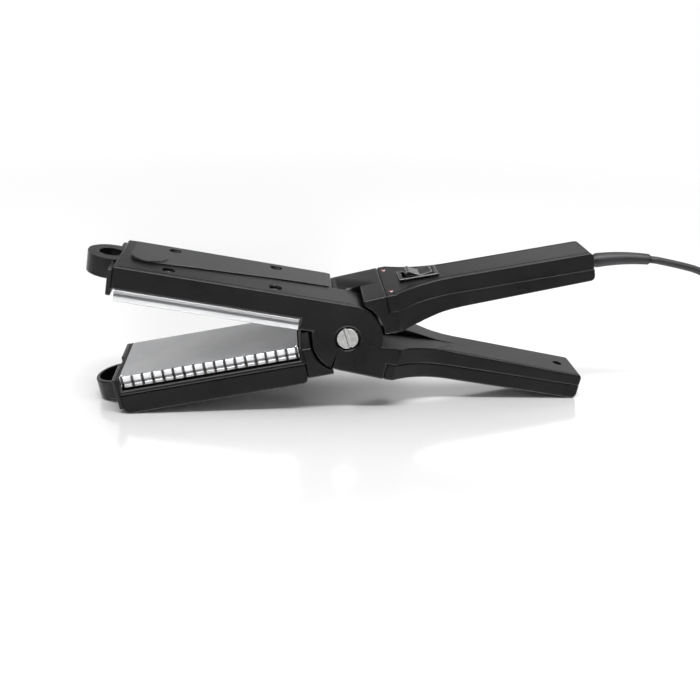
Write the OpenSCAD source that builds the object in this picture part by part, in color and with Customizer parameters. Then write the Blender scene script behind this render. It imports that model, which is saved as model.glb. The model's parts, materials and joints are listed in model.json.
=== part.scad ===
/* [Jaws] */
// Width of both arms at the jaws and at the hub
body_w = 50; // [46:0.5:56]
// Height of the upper jaw above the plane in which the plates meet, also the radius of the hub's cheeks
jaw_h = 18.3; // [17.5:0.1:19]
// Depth of the lower jaw with its cover
lower_jaw_h = 20.6; // [20:0.1:24]
// How far the lower jaw's cover stands proud of the arm's sides
cover_proud = 0.7; // [0.3:0.1:1]
// Wall thickness of the moulded shells
wall = 2; // [1.6:0.1:2.2]

/* [Plates] */
// Length of each plate
plate_len = 93; // [85:1:105]
// Distance from the pivot to the near end of each plate
plate_start = 26.2; // [26:0.1:30]
// Height of a plate's side
plate_h = 6.1; // [5.8:0.1:6.1]
// Thickness of a plate's face and sides
plate_t = 1.5; // [1.2:0.1:1.7]
// Gap between the plates when the jaws are shut
plate_gap = 0.3; // [0.3:0.05:0.6]
// Number of comb teeth along the lower plate
tooth_count = 17; // [12:1:19]
// Width of one comb tooth
tooth_w = 4.1; // [3.4:0.1:4.4]
// Depth of the slots between the teeth
tooth_depth = 2.2; // [1.5:0.1:2.6]

/* [Handles] */
// Width of both handles
handle_w = 25.6; // [25:0.1:30]
// Distance from the pivot to the handles' ends
handle_reach = 134; // [128:1:145]
// Depth of the lower handle below the pivot's plane
lower_handle_h = 18.7; // [18:0.1:20]
// Height of the upper handle above the pivot's plane, also the depth of both arms' roots at the hub
upper_handle_h = 19.5; // [19:0.1:20.5]
// Distance of the handles' parting line from the pivot's plane
parting_h = 10.8; // [10.4:0.1:11.5]
// Where the arm starts to narrow into the handle
flare_start = 28; // [27:0.5:30]
// Where the handle reaches its own width
flare_end = 60; // [56:1:66]
// Radius of the handles' and the lower jaw's outer corners
corner_r = 3; // [2:0.5:4]

/* [Hub] */
// Angle between the jaws when they stand open
open_angle = 20; // [16:0.5:21]
// Gap between the two cheeks where they lap
lap_gap = 0.4; // [0.3:0.05:0.6]
// Gap between a cheek and the socket round it
socket_gap = 1.2; // [0.8:0.1:1.4]
// Radius of the pivot's barrel
barrel_r = 4; // [3.6:0.1:4.2]
// Running clearance of the barrel in its bush
barrel_play = 0.05; // [0.03:0.01:0.08]
// Radius of the slotted screw head
pivot_head_r = 5.5; // [5:0.1:6]
// Thickness of the slotted screw head
pivot_head_t = 2.2; // [1.8:0.1:2.6]
// Wire thickness of the return spring
spring_wire = 1.5; // [1.2:0.1:1.6]
// Mean radius of the return spring
spring_r = 8; // [7.8:0.1:8.6]

/* [Tips] */
// Outer radius of the cool tip's eye
eye_r = 12.6; // [11.5:0.1:13]
// Radius of the hanging hole in the eye
eye_hole_r = 6.2; // [4.5:0.1:6.4]
// Thickness of the eye's web round the hanging hole
eye_web = 3; // [2:0.1:4]
// Height of the eye
eye_h = 10.4; // [9:0.1:10.5]
// Thickness of the tip's end plate
tip_plate_t = 2.4; // [1.8:0.1:3]

/* [Switch] */
// Length of the rocker switch's bezel
bezel_l = 21; // [20:0.1:22]
// Width of the rocker switch's bezel
bezel_w = 15; // [14:0.1:16]
// Distance from the pivot to the middle of the switch
switch_x = 42.5; // [42:0.1:44]
// Angle between the rocker's two positions
rocker_throw = 20; // [16:1:24]
// Radius of an indicator lamp's lens
lens_r = 1.6; // [1.4:0.1:1.9]

/* [Cord] */
// Thickness of the mains cord
cord_d = 4; // [3.8:0.1:4]
// Length of the strain relief outside the handle
relief_len = 34; // [30:1:40]
// Number of turns in the stored coil
coil_turns = 10; // [9:1:11]
// Mean radius of the stored coil
coil_r = 24; // [24:0.1:24.5]

/* [Hidden] */
$fn = 64;

half_w = body_w / 2;
half_handle = handle_w / 2;
half_lap = lap_gap / 2;
plate_inset = 0.8;
plate_w = body_w - 2 * plate_inset;
plate_end = plate_start + plate_len;
end_wall = 1.4;
plate_play = 0.2;
jaw_end = plate_end + plate_play + end_wall;
hub_r = jaw_h;
socket_r = hub_r + socket_gap;
root_h = upper_handle_h;
root_chamfer = 0.8;
neck_x = 24;
neck_end = 10;
root_start = 11;
cover_x = 23.2;
jaw_parting = 10;
seam = 0.3;
seam_depth = 0.5;
face_z = plate_gap / 2;
side_top = face_z + plate_h;
upper_side_z = side_top + 0.35;
lower_side_z = side_top + 1.2;
cheek_under = 0.8;
neck_under = 1.5;
root_low = -1.6;
root_high = 1.2;
grip_bend = 50;
grip_near = [[grip_bend, -1.9]];
grip_far = [[38, 0.5], [52, -1.6], [64, -2.3]];
grip_end = -4.3;
end_r = 2.5;

// The arm stands on two rounded corners of equal radius: one on the lower jaw, one on the lower handle
foot_jaw = [jaw_end - corner_r, lower_jaw_h - corner_r];
foot_grip = [handle_reach - corner_r, lower_handle_h - corner_r];
foot_reach = norm(foot_grip);
foot_sum = open_angle + atan2(foot_grip[1], foot_grip[0]);
rear_tilt = atan2(foot_reach * sin(foot_sum) - foot_jaw[1], foot_jaw[0] + foot_reach * cos(foot_sum));
front_tilt = open_angle - rear_tilt;
pivot_z = foot_jaw[0] * sin(rear_tilt) + foot_jaw[1] * cos(rear_tilt) + corner_r;

eye_x = jaw_end + 3.8;
eye_hole_x = eye_x + 0.8;
upper_eye_low = 7.4;
lower_eye_low = 6.4;
relief_bend = 16;
relief_z = parting_h;
relief_start = handle_reach + 0.2;
relief_r0 = 3.9;
relief_r1 = 2.9;
relief_arc = relief_len / (relief_bend * PI / 180);
relief_tip = [relief_start + relief_arc * sin(relief_bend),
    relief_z - relief_arc * (1 - cos(relief_bend))];
eye_tip = eye_x + eye_r;
reach_left = max(eye_tip * cos(rear_tilt) - lower_eye_low * sin(rear_tilt),
    eye_tip * cos(front_tilt) - upper_eye_low * sin(front_tilt));
reach_right = relief_tip[0] * cos(rear_tilt) - relief_tip[1] * sin(rear_tilt)
    + relief_r1 * sin(relief_bend - rear_tilt);
pivot_x = (reach_left - reach_right) / 2;

tooth_margin = 1.5;
tooth_pitch = (plate_len - 2 * tooth_margin - tooth_w) / (tooth_count - 1);
side_groove = 0.5;
side_groove_z = face_z + 3.9;
carrier_w = plate_w - 2 * plate_t;
heater_t = 2.6;
heater_z = face_z + plate_t;
clip_t = 0.5;
carrier_z = heater_z + heater_t + clip_t;
carrier_t = 2.2;
boss_r = 4.6;
boss_z = 12;
jaw_screw_y = 15.8;
jaw_screw_x = [40.5, 94.7];
screw_head_r = 2.8;
screw_recess_r = 3.25;
screw_recess = 3.5;
screw_r = 1.4;
screw_hole_r = 1.6;
grip_screw_x = handle_reach - 11;
upper_grip_screw_x = handle_reach - 34;
heater_l = 66;
heater_w = 16;
heater_x = plate_start + plate_len / 2;
clip_half = heater_l / 2 - 10;
spring_turns = 3.5 + open_angle / 360;
spring_pitch = spring_wire + 0.5;
spring_pocket_r = spring_r + spring_wire / 2 + 1;
spring_half = (spring_turns * spring_pitch + spring_wire) / 2;
spring_pocket = spring_half + 0.6;
head_recess_r = pivot_head_r + 0.9;
head_recess = pivot_head_t + 0.3;
bush_r = barrel_r + 1.5;
duct_y = 16;
duct_w = 8;
duct_h = 5;
duct_x = 9;
duct_z = 7;
switch_cut_l = bezel_l - 2;
switch_cut_w = bezel_w - 2;
bezel_t = 1.6;
rocker_l = bezel_l - 5;
rocker_w = bezel_w - 5;
lamp_x = 26;
lamp_y = 18;
board_x = 74;
board_l = 30;
board_w = 17;
board_t = 1.6;
board_z = 9.4;

// Route of the free cord from the strain relief to the coil: points picked by hand
cord_r = cord_d / 2;
coil_x = 272;
coil_y = 4;
tie_t = 0.5;
coil_z = tie_t + cord_r * sin(60) + 0.06;
layer_count = 4;
turn_step = cord_d + 0.45;
layer_turns = coil_turns / layer_count;
coil_out = coil_r + layer_turns * turn_step / 2;
coil_top = coil_z + (layer_count - 1) * turn_step;
relief_dir = rear_tilt - relief_bend;
cord_exit = [pivot_x + relief_tip[0] * cos(rear_tilt) - relief_tip[1] * sin(rear_tilt), 0,
    pivot_z + relief_tip[0] * sin(rear_tilt) + relief_tip[1] * cos(rear_tilt)];
run_mid = [[165, 0, 73.5], [178, 0, 70], [190, -1.4, 64], [201, -3.4, 56], [211, -6.8, 46],
    [220, -10.8, 35], [229, -15.6, 24], [238, -20.3, 13.5], [248, -24.1, 5.5], [257, -25.4, 2.8]];
run_points = concat([cord_exit + cord_d * [cos(relief_dir), 0, sin(relief_dir)]], run_mid,
    [[coil_x - 2 * cord_d, coil_y - coil_out, coil_z]]);
run_end = [coil_x - cord_d, coil_y - coil_out, coil_z];
coil_exit = [coil_x, coil_y - coil_out, coil_top];
plug_t = 13.7;
plug_back = [coil_x + 70, coil_y - coil_out + 15.6, plug_t / 2];
tail_points = [coil_exit, coil_exit + [cord_d, 0, 0], coil_exit + [14, -0.6, 0.1], coil_exit + [23, -0.7, -1.3],
    coil_exit + [31, 0.7, -3.3], coil_exit + [38, 3.9, -5.1], coil_exit + [44.5, 8, -6.6], coil_exit + [51, 12, -7.8],
    coil_exit + [58, 14.8, -8.5], plug_back - [cord_d, 0, 0], plug_back];

function arc_points(cx, cz, r, a0, a1, n = 6) =
    [for (i = [0:n]) let (a = a0 + (a1 - a0) * i / n) [cx + r * cos(a), cz + r * sin(a)]];

// Plan outline: straight along the hub, an arc that runs out tangent to the handle, straight again
flare_deep = half_w - half_handle;
flare_r = (pow(flare_end - flare_start, 2) + pow(flare_deep, 2)) / (2 * flare_deep);
function flare_from(d) = flare_end - sqrt(pow(flare_r + d, 2) - pow(flare_r + d - flare_deep, 2));
function side_y(x, d) = x <= flare_from(d) ? half_w - d
    : x >= flare_end ? half_handle - d
    : half_handle + flare_r - sqrt(pow(flare_r + d, 2) - pow(x - flare_end, 2));
function stations(a, b, d) = concat([a],
    [for (i = [0:12]) let (x = flare_from(d) + (flare_end - flare_from(d)) * i / 12)
        if (x > a + 0.05 && x < b - 0.05) x], [b]);
function plan_points(a, b, d) = let (xs = stations(a, b, d), n = len(xs) - 1)
    concat([for (x = xs) [x, -side_y(x, d)]], [for (i = [n:-1:0]) [xs[i], side_y(xs[i], d)]]);

// Places a piece in the front arm's frame: jaw towards -X and above the plane, handle below it
module on_front() {
    translate([pivot_x, 0, pivot_z]) rotate([0, front_tilt, 0]) children();
}

// The rear arm is the same design turned over about its own length
module on_rear() {
    translate([pivot_x, 0, pivot_z]) rotate([0, -rear_tilt, 0]) rotate([180, 0, 0]) children();
}

module along_y(y0, y1) {
    translate([0, y1, 0]) rotate([90, 0, 0]) linear_extrude(y1 - y0) children();
}

module plan(a, b, d, z0, z1) {
    translate([0, 0, z0]) linear_extrude(z1 - z0) polygon(plan_points(a, b, d));
}

module block(x0, x1, y0, y1, z0, z1) {
    translate([x0, y0, z0]) cube([x1 - x0, y1 - y0, z1 - z0]);
}

module pin_y(r, y0, y1) {
    translate([0, y1, 0]) rotate([90, 0, 0]) cylinder(r = r, h = y1 - y0);
}

module post(x, y, r, z0, z1) {
    translate([x, y, z0]) cylinder(r = r, h = z1 - z0);
}

module jaw_posts(r, z0, z1) {
    for (x = jaw_screw_x) for (s = [-1, 1]) post(-x, s * jaw_screw_y, r, z0, z1);
}

// The cheek's underside slopes from the disc, as a tangent, to the handle's cover
tangent_a = atan2(-root_h, cover_x) - acos(hub_r / norm([cover_x, root_h]));
tangent_point = hub_r * [cos(tangent_a), sin(tangent_a)];

// Side view of the arm's handle half: the listed first points, the inner face and a rounded end
module grip_profile(first, inner) {
    x = handle_reach - end_r;
    polygon(concat(first, inner, arc_points(x, grip_floor(x) - end_r, end_r, 90, 0),
        [[handle_reach, -parting_h], [cover_x, -parting_h], [cover_x, -root_h]]));
}

// Height of the handle's inner face, which slopes a little away from the pivot's plane
function grip_floor(x) = grip_near[0][1] + (grip_end - grip_near[0][1]) * (x - grip_bend) / (handle_reach - grip_bend);

// Near cheek with its half of the root, and the far half of neck and root with the socket for the other cheek
module hub_solid(front) {
    low_left = [root_start, -root_h + root_chamfer];
    intersection() {
        union() {
            pin_y(hub_r, -half_w, -half_lap);
            along_y(-half_w, -half_lap) polygon([[-front, cheek_under], [0, cheek_under], [0, jaw_h], [-front, jaw_h]]);
            along_y(-half_w, -half_lap) grip_profile([tangent_point, [0, root_low], [flare_start, root_low]], grip_near);
            difference() {
                union() {
                    along_y(-half_lap, half_lap) grip_profile([low_left, [root_start, root_low],
                        [flare_start, root_low]], grip_near);
                    along_y(half_lap, half_w) grip_profile([low_left, [root_start, root_high],
                        [flare_start, root_high]], grip_far);
                    block(-front, -neck_end, -half_lap, half_w, neck_under, jaw_h);
                }
                pin_y(socket_r, -half_lap, half_w + 1);
            }
        }
        plan(-front, handle_reach, 0, -root_h - 1, jaw_h + 1);
    }
}

duct_y0 = -duct_y - duct_w / 2;
duct_y1 = -duct_y + duct_w / 2;

// The wire duct's straight part between the jaw's hollow and the hub
module upper_duct(end) {
    block(-neck_x - 3, end, duct_y0, duct_y1, duct_z, duct_z + duct_h);
}

// Everything that is cut from both arms alike: bore, spring pocket, wire duct and the handle's hollow
module hub_cuts() {
    duct_x0 = -duct_x - duct_h / 2;
    duct_x1 = -duct_x + duct_h / 2;
    pin_y(bush_r, -half_w - 1, half_w + 1);
    pin_y(head_recess_r, -half_w - 1, -half_w + head_recess);
    pin_y(spring_pocket_r, -spring_pocket, 0);
    block(-leg_end - 1, 0, -spring_half - 0.3, 0, -spring_r - spring_wire / 2, -spring_r + spring_wire);
    upper_duct(duct_x1);
    block(duct_x0, duct_x1, duct_y0, duct_y1, -duct_z - duct_h, duct_z + duct_h);
    block(duct_x0, flare_start + 4, duct_y0, duct_y1, -duct_z - duct_h, -duct_z);
    intersection() {
        along_y(-half_w, half_w) polygon([[flare_start + 1, root_low - grip_skin],
            [handle_reach - wall, grip_end - grip_skin], [handle_reach - wall, -parting_h - 1],
            [flare_start + 1, -parting_h - 1]]);
        plan(flare_start, handle_reach, wall, -parting_h - 2, 2);
    }
}

grip_skin = 2.2;
leg_end = 12.5;

// Screw post inside the handle, joined to its inner face
module grip_boss(x) {
    post(x, 0, grip_boss_r, -parting_h, grip_floor(x) - 0.5);
}

module grip_boss_cuts(x) {
    post(x, 0, screw_hole_r, -parting_h - 1, 0);
    post(x, 0, grip_head_r + 0.2, grip_floor(x) - grip_screw_deep, 0);
}

grip_boss_r = 4;
grip_screw_deep = 3;
grip_head_r = 2.3;

module front_arm() color("#242426") on_front() difference() {
    union() {
        difference() {
            union() {
                hub_solid(neck_x + wall);
                block(-jaw_end, -neck_x, -half_w, half_w, upper_side_z, jaw_h);
            }
            block(-jaw_end + wall, -neck_x - wall, -half_w + wall, half_w - wall, upper_side_z - 1, jaw_h - wall);
            hub_cuts();
        }
        jaw_posts(boss_r, boss_z, jaw_h - wall + 0.1);
        grip_boss(grip_screw_x);
    }
    jaw_posts(screw_recess_r, jaw_h - screw_recess, jaw_h + 1);
    jaw_posts(screw_hole_r, boss_z - 1, jaw_h);
    grip_boss_cuts(grip_screw_x);
    for (s = [-1, 1]) translate([0, s * (half_w - edge_in), 0])
        block(-jaw_end + edge_in, -1, -groove_w / 2, groove_w / 2, jaw_h - groove_deep, jaw_h + 1);
}

edge_in = 2.2;
groove_w = 0.5;
groove_deep = 0.4;

// Fine groove in a cover's outer face that follows the handle's edges
module edge_groove(depth) {
    intersection() {
        along_y(-half_w, half_w) polygon([[cover_x - 1, -root_h + groove_deep], [grip_bend, -depth + groove_deep],
            [handle_reach, -depth + groove_deep], [handle_reach, -root_h - 1], [cover_x - 1, -root_h - 1]]);
        difference() {
            plan(cover_x - 1, handle_reach - edge_in, edge_in - groove_w / 2, -root_h - 2, 0);
            plan(cover_x - 2, handle_reach - edge_in - groove_w, edge_in + groove_w / 2, -root_h - 3, 1);
        }
    }
}

// Shell of a handle's cover, open at the hub, with a fine seam along the parting line
module grip_cover(depth) {
    difference() {
        intersection() {
            along_y(-half_w, half_w) polygon(concat([[cover_x, -parting_h], [cover_x, -root_h], [grip_bend, -depth]],
                arc_points(handle_reach - corner_r, -depth + corner_r, corner_r, -90, 0),
                [[handle_reach, -parting_h]]));
            plan(cover_x, handle_reach, 0, -root_h - 1, 0);
        }
        intersection() {
            along_y(-half_w, half_w) polygon([[cover_x - 1, 0], [cover_x - 1, -root_h + wall], [grip_bend, -depth + wall],
                [handle_reach - wall, -depth + wall], [handle_reach - wall, 0]]);
            plan(cover_x - 1, handle_reach, wall, -root_h, 1);
        }
        edge_groove(depth);
        difference() {
            block(0, handle_reach + 1, -half_w - 1, half_w + 1, -parting_h - seam, -parting_h + 1);
            plan(0, handle_reach - seam_depth, seam_depth, -parting_h - 1, 2);
        }
        difference() {
            block(cover_x - 1, cover_x + seam, -half_w - 1, half_w + 1, -root_h - 1, 0);
            block(cover_x - 2, cover_x + 1, -half_w + seam_depth, half_w - seam_depth, -root_h + seam_depth, 1);
        }
    }
}

// Post that a handle's screw is driven into
module cover_post(x, depth) {
    difference() {
        post(x, 0, cover_post_r, -depth + wall - 0.1, -parting_h);
        post(x, 0, screw_r, -depth + wall + 1, 0);
    }
}

cover_post_r = 3.4;

module lower_handle_cover() color("#242426") on_front() {
    grip_cover(lower_handle_h);
    cover_post(grip_screw_x, lower_handle_h);
}

inlay_t = 0.8;
pad_at = [-106, -1.5];
pad_r = 9.5;
pad_ledge = 0.4;
pad_rise = 0.6;

// Thin raised trim on the upper jaw: a round thumb pad at its tip end on a narrowing strip
module upper_jaw_inlay() color("#2b2b2d") on_front() translate([0, 0, jaw_h]) difference() {
    union() {
        linear_extrude(inlay_t) polygon(concat([[-12, half_w - 3], [-12, -0.6], [-40, -2.2], [-85, -7.5], [-101, -10]],
            arc_points(pad_at[0], pad_at[1], pad_r, 275, 180, 8), [[pad_at[0] - pad_r, half_w - 3]]));
        post(pad_at[0], pad_at[1], pad_r - pad_ledge, 0, inlay_t + pad_rise);
    }
    jaw_posts(screw_recess_r, -1, 2);
}

// End plate of a jaw with a hollow eye to hold the hot jaw by
module tip_cap(low, high, wide, eye_low) {
    difference() {
        union() {
            block(-jaw_end - tip_plate_t, -jaw_end, -wide, wide, low, high);
            difference() {
                post(-eye_x, 0, eye_r, eye_low, eye_low + eye_h);
                block(-jaw_end, 0, -half_w, half_w, 0, 30);
            }
        }
        post(-eye_x, 0, eye_r - wall, eye_low - 1, eye_low + eye_h - eye_web);
        post(-eye_hole_x, 0, eye_hole_r, 0, 30);
    }
    block(-jaw_end - tip_skin, -jaw_end, -eye_r, eye_r, low, high);
}

tip_skin = 0.9;

module upper_tip_cap() color("#1c1c1e") on_front() tip_cap(2.8, 16.6, half_w - 0.3, upper_eye_low);

module lower_tip_cap() color("#1c1c1e") on_rear() tip_cap(lip_z, lower_jaw_h - corner_r, half_w + cover_proud - 0.3,
    lower_eye_low);

lip_z = 0.35;

// Channel with a flat face: the sides carry a fine groove along their length
module plate_channel() {
    difference() {
        block(-plate_end, -plate_start, -plate_w / 2, plate_w / 2, face_z, side_top);
        block(-plate_end - 1, -plate_start + 1, -plate_w / 2 + plate_t, plate_w / 2 - plate_t,
            face_z + plate_t, side_top + 1);
        for (s = [-1, 1]) translate([0, s * plate_w / 2, 0])
            block(-plate_end - 1, -plate_start + 1, -side_groove, side_groove, side_groove_z, side_groove_z + side_groove);
    }
}

module upper_plate() color("#b9bbbd") on_front() plate_channel();

module lower_plate() color("#b9bbbd") on_rear() difference() {
    union() {
        plate_channel();
        block(-plate_end, -plate_start, plate_w / 2 - tooth_depth - plate_t, plate_w / 2 - plate_t, face_z + 0.5,
            carrier_z - plate_play);
    }
    for (i = [0:tooth_count]) translate([-plate_end + tooth_margin + i * tooth_pitch - (tooth_pitch - tooth_w), 0, 0])
        block(0, tooth_pitch - tooth_w, plate_w / 2 - tooth_depth, plate_w, 0, side_top + 1);
    translate([0, plate_w / 2, 0])
        block(-plate_end - 1, -plate_start + 1, -side_groove - 0.3, 1, side_groove_z, side_groove_z + side_groove);
}

// Heat-resistant tray that the plate's channel is pressed over, screwed up into the jaw
module plate_carrier() {
    difference() {
        union() {
            block(-plate_end + 1, -plate_start - 1, -carrier_w / 2, carrier_w / 2, carrier_z, carrier_z + carrier_t);
            jaw_posts(boss_r - 0.8, carrier_z, boss_z);
        }
        block(-heater_x - clip_half + 2, -heater_x + clip_half - 2, -window_y, window_y, 0, 20);
        block(-heater_x + clip_half + 2, -heater_x + heater_l / 2 + 7, -window_y, window_y, 0, 20);
        jaw_posts(screw_r, carrier_z + 1, 20);
    }
}

window_y = 6;

module upper_plate_carrier() color("#3a3532") on_front() plate_carrier();

module lower_plate_carrier() color("#3a3532") on_rear() plate_carrier();

module heater() {
    block(-heater_x - heater_l / 2, -heater_x + heater_l / 2, -heater_w / 2, heater_w / 2, heater_z, heater_z + heater_t);
}

module upper_heater() color("#d8cdb4") on_front() heater();

module lower_heater() color("#d8cdb4") on_rear() heater();

// Strip that the carrier presses on the heater, with lugs down both of the heater's sides
module heater_clip() {
    z = heater_z + heater_t;
    block(-heater_x - clip_half, -heater_x + clip_half, -heater_w / 2 - clip_t, heater_w / 2 + clip_t, z, z + clip_t);
    for (s = [-1, 1]) translate([-heater_x, s * (heater_w / 2 + clip_t / 2), 0])
        block(-6, 6, -clip_t / 2, clip_t / 2, heater_z + 0.6, z + clip_t / 2);
}

module upper_heater_clip() color("#8d9094") on_front() heater_clip();

module lower_heater_clip() color("#8d9094") on_rear() heater_clip();

// Round thermostat that rests on the lower heater's clip in the carrier's window
module thermostat() color("#b7b2a6") on_rear() translate([-heater_x - 8, 0, carrier_z]) {
    cylinder(r = 5, h = 4);
    translate([0, 0, 4]) cylinder(r = 2, h = 1);
}

// Thermal fuse on a flat saddle beside the thermostat
module thermal_fuse() color("#c9ccce") on_rear() translate([-heater_x + 8, 0, carrier_z]) {
    block(-4, 4, -1.5, 1.5, 0, 1);
    translate([-5, 0, 2.2]) rotate([0, 90, 0]) cylinder(r = 2, h = 10);
}

module jaw_screws(top) {
    difference() {
        union() {
            jaw_posts(screw_head_r, top - screw_recess, top - screw_recess + 2);
            jaw_posts(screw_r, carrier_z + 1.5, top - screw_recess);
        }
        for (x = jaw_screw_x) for (s = [-1, 1]) for (a = [0, 90])
            translate([-x, s * jaw_screw_y, top - screw_recess + 1]) rotate([0, 0, a])
                block(-1.7, 1.7, -0.3, 0.3, 0, 2);
    }
}

module upper_jaw_screws() color("#5a5c5f") on_front() jaw_screws(jaw_h);

module lower_jaw_screws() color("#5a5c5f") on_rear() jaw_screws(lower_jaw_h);

module grip_screw(x, depth) {
    z = grip_floor(x) - grip_screw_deep;
    difference() {
        post(x, 0, grip_head_r, z, z + 1.2);
        for (a = [0, 90]) translate([x, 0, z + 0.6]) rotate([0, 0, a]) block(-1.5, 1.5, -0.3, 0.3, 0, 2);
    }
    post(x, 0, screw_r, -depth + wall + 1.5, z + 0.3);
}

module lower_handle_screw() color("#5a5c5f") on_front() grip_screw(grip_screw_x, lower_handle_h);

module upper_handle_screw() color("#5a5c5f") on_rear() grip_screw(upper_grip_screw_x, upper_handle_h);

lead_r = 1;
lead_z = duct_z + duct_h / 2;
lead_gap = 2;

// Route of one of the two leads from a heater through the duct in the hub
function lead_route(s) = [[-heater_x + heater_l / 2 - 4, s * 3, heater_z + heater_t + lead_r],
    [-heater_x + heater_l / 2 + 5, s * 3, lead_z], [-neck_x - 6, -duct_y + s * lead_gap, lead_z],
    [-duct_x, -duct_y + s * lead_gap, lead_z], [-duct_x, -duct_y + s * lead_gap, -lead_z]];

module front_leads() color("#7a2f2a") on_front() for (s = [-1, 1])
    tube(lead_route(s), lead_r, 8, [0, 1, 0]);

// The rear arm's leads run on beside the switch to the circuit board
module rear_leads() color("#7a2f2a") on_rear() for (s = [-1, 1])
    tube(concat(lead_route(s), [[switch_x - 11.5, -duct_y + s * lead_gap, -lead_z], [switch_x - 6.5, -13 + s * 1.6, -lead_z],
        [switch_x - 1.5, -11 + s * 1.3, -lead_z], [switch_x + 7.5, -9 + s * 1.15, -lead_z],
        [switch_x + 11.5, -8.8 + s * 1.1, -lead_z],
        [board_x - board_l / 2 - 2.2, s * 1.4 - 6, -board_z - board_t / 2],
        [board_x - board_l / 2, s * 1.4 - 6, -board_z - board_t / 2]]), lead_r, 8, [0, 1, 0]);

barrel_end = half_w - head_recess;
screw_core = 2.2;
slot_w = 1.2;
slot_deep = 1.3;

// Near cheek's bush, in which the barrel turns
module front_bush() color("#b08d4a") on_front() difference() {
    pin_y(bush_r, -barrel_end + 0.1, -spring_pocket - 0.2);
    pin_y(barrel_r + barrel_play, -half_w, 0);
}

// Far cheek's bush, which grips the barrel
module rear_bush() color("#b08d4a") on_rear() difference() {
    pin_y(bush_r, -barrel_end, -spring_pocket - 0.2);
    pin_y(barrel_r, -half_w, 0);
}

module pivot_barrel() color("#c8cacc") on_rear() difference() {
    union() {
        pin_y(pivot_head_r, -barrel_end - pivot_head_t, -barrel_end);
        pin_y(barrel_r, -barrel_end, barrel_end);
    }
    pin_y(screw_core, 2, half_w);
    translate([0, -barrel_end - pivot_head_t, 0]) block(-slot_w / 2, slot_w / 2, -1, slot_deep, -10, 10);
}

module pivot_screw() color("#c8cacc") on_rear() difference() {
    union() {
        pin_y(pivot_head_r, barrel_end, barrel_end + pivot_head_t);
        pin_y(screw_core, 4, barrel_end);
    }
    translate([0, barrel_end + pivot_head_t, 0]) rotate([0, 8, 0]) block(-slot_w / 2, slot_w / 2, -slot_deep, 1, -10, 10);
}

function unit(v) = v / norm(v);
function flat(lists) = [for (a = lists) for (b = a) b];
function tangent(p, i) = unit(p[min(i + 1, len(p) - 1)] - p[max(i - 1, 0)]);

// Tube of the given radius at each point, with rings square to the path, turned to face up, and closed ends
module tube(p, radii, sides, up = [0, 0, 1]) {
    n = len(p);
    rings = flat([for (i = [0:n - 1]) let (t = tangent(p, i), a = unit(cross(up, t)), b = cross(t, a),
        r = is_list(radii) ? radii[i] : radii)
        [for (k = [0:sides - 1]) p[i] + r * (a * cos(360 * k / sides) + b * sin(360 * k / sides))]]);
    walls = flat([for (i = [0:n - 2]) for (k = [0:sides - 1]) let (m = (k + 1) % sides, q = i * sides)
        [[q + k, q + sides + k, q + m], [q + m, q + sides + k, q + sides + m]]]);
    ends = concat([for (k = [1:sides - 2]) [0, k, k + 1]],
        [for (k = [1:sides - 2]) let (q = (n - 1) * sides) [q, q + k + 1, q + k]]);
    polyhedron(points = rings, faces = concat(walls, ends));
}

// Point on a smooth curve through the listed points
function curve_at(p, i, u) = let (a = p[max(i - 1, 0)], b = p[i], c = p[i + 1], d = p[min(i + 2, len(p) - 1)])
    0.5 * (2 * b + (c - a) * u + (2 * a - 5 * b + 4 * c - d) * u * u + (3 * b - a - 3 * c + d) * u * u * u);
function curve(p, steps) = concat(flat([for (i = [0:len(p) - 2]) [for (k = [0:steps - 1]) curve_at(p, i, k / steps)]]),
    [p[len(p) - 1]]);
function length_of(p) = sum_of([for (i = [1:len(p) - 1]) norm(p[i] - p[i - 1])]);
function sum_of(v, i = 0) = i >= len(v) ? 0 : v[i] + sum_of(v, i + 1);

// Torsion spring: a helix round the barrel with a leg into a slot of each arm
module return_spring() color("#9a9da1") on_rear() {
    n = ceil(spring_turns * 12);
    y0 = -spring_turns * spring_pitch / 2;
    a1 = -90 + 360 * spring_turns;
    helix = [for (i = [0:n]) let (a = -90 + (a1 + 90) * i / n, y = y0 + spring_turns * spring_pitch * i / n)
        [spring_r * cos(a), y, spring_r * sin(a)]];
    leg = (leg_end + 0.5) * [-sin(a1), 0, cos(a1)];
    path = concat([[-leg_end, y0, -spring_r], [-leg_end / 3, y0, -spring_r]], helix,
        [helix[n] + leg / 3, helix[n] + leg]);
    rotate([-90, 0, 0]) tube([for (q = path) [q[0], -q[2], q[1]]], spring_wire / 2, 6);
}

// Deep lower shell of the lower jaw, wider than the arm, with rounded lower edges at both ends
module lower_jaw_cover() color("#242426") on_rear() difference() {
    union() {
        difference() {
            along_y(-half_w - cover_proud, half_w + cover_proud) polygon(concat(
                [[-neck_x, jaw_parting], [-neck_x, lower_jaw_h - 1.5], [-neck_x - 1.5, lower_jaw_h]],
                arc_points(-jaw_end + corner_r, lower_jaw_h - corner_r, corner_r, 90, 180),
                [[-jaw_end, jaw_parting]]));
            block(-jaw_end + wall, -neck_x - wall, -half_w - cover_proud + wall,
                half_w + cover_proud - wall, 0, lower_jaw_h - wall);
        }
        jaw_posts(boss_r, boss_z, lower_jaw_h - wall + 0.1);
    }
    jaw_posts(screw_recess_r, lower_jaw_h - screw_recess, lower_jaw_h + 1);
    jaw_posts(screw_hole_r, boss_z - 1, lower_jaw_h);
    upper_duct(0);
    difference() {
        block(-jaw_end - 1, 0, -half_w - 2, half_w + 2, jaw_parting - 1, jaw_parting + seam);
        block(-jaw_end + seam_depth, 0, -half_w - cover_proud + seam_depth, half_w + cover_proud - seam_depth, 0, 20);
    }
}

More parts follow.
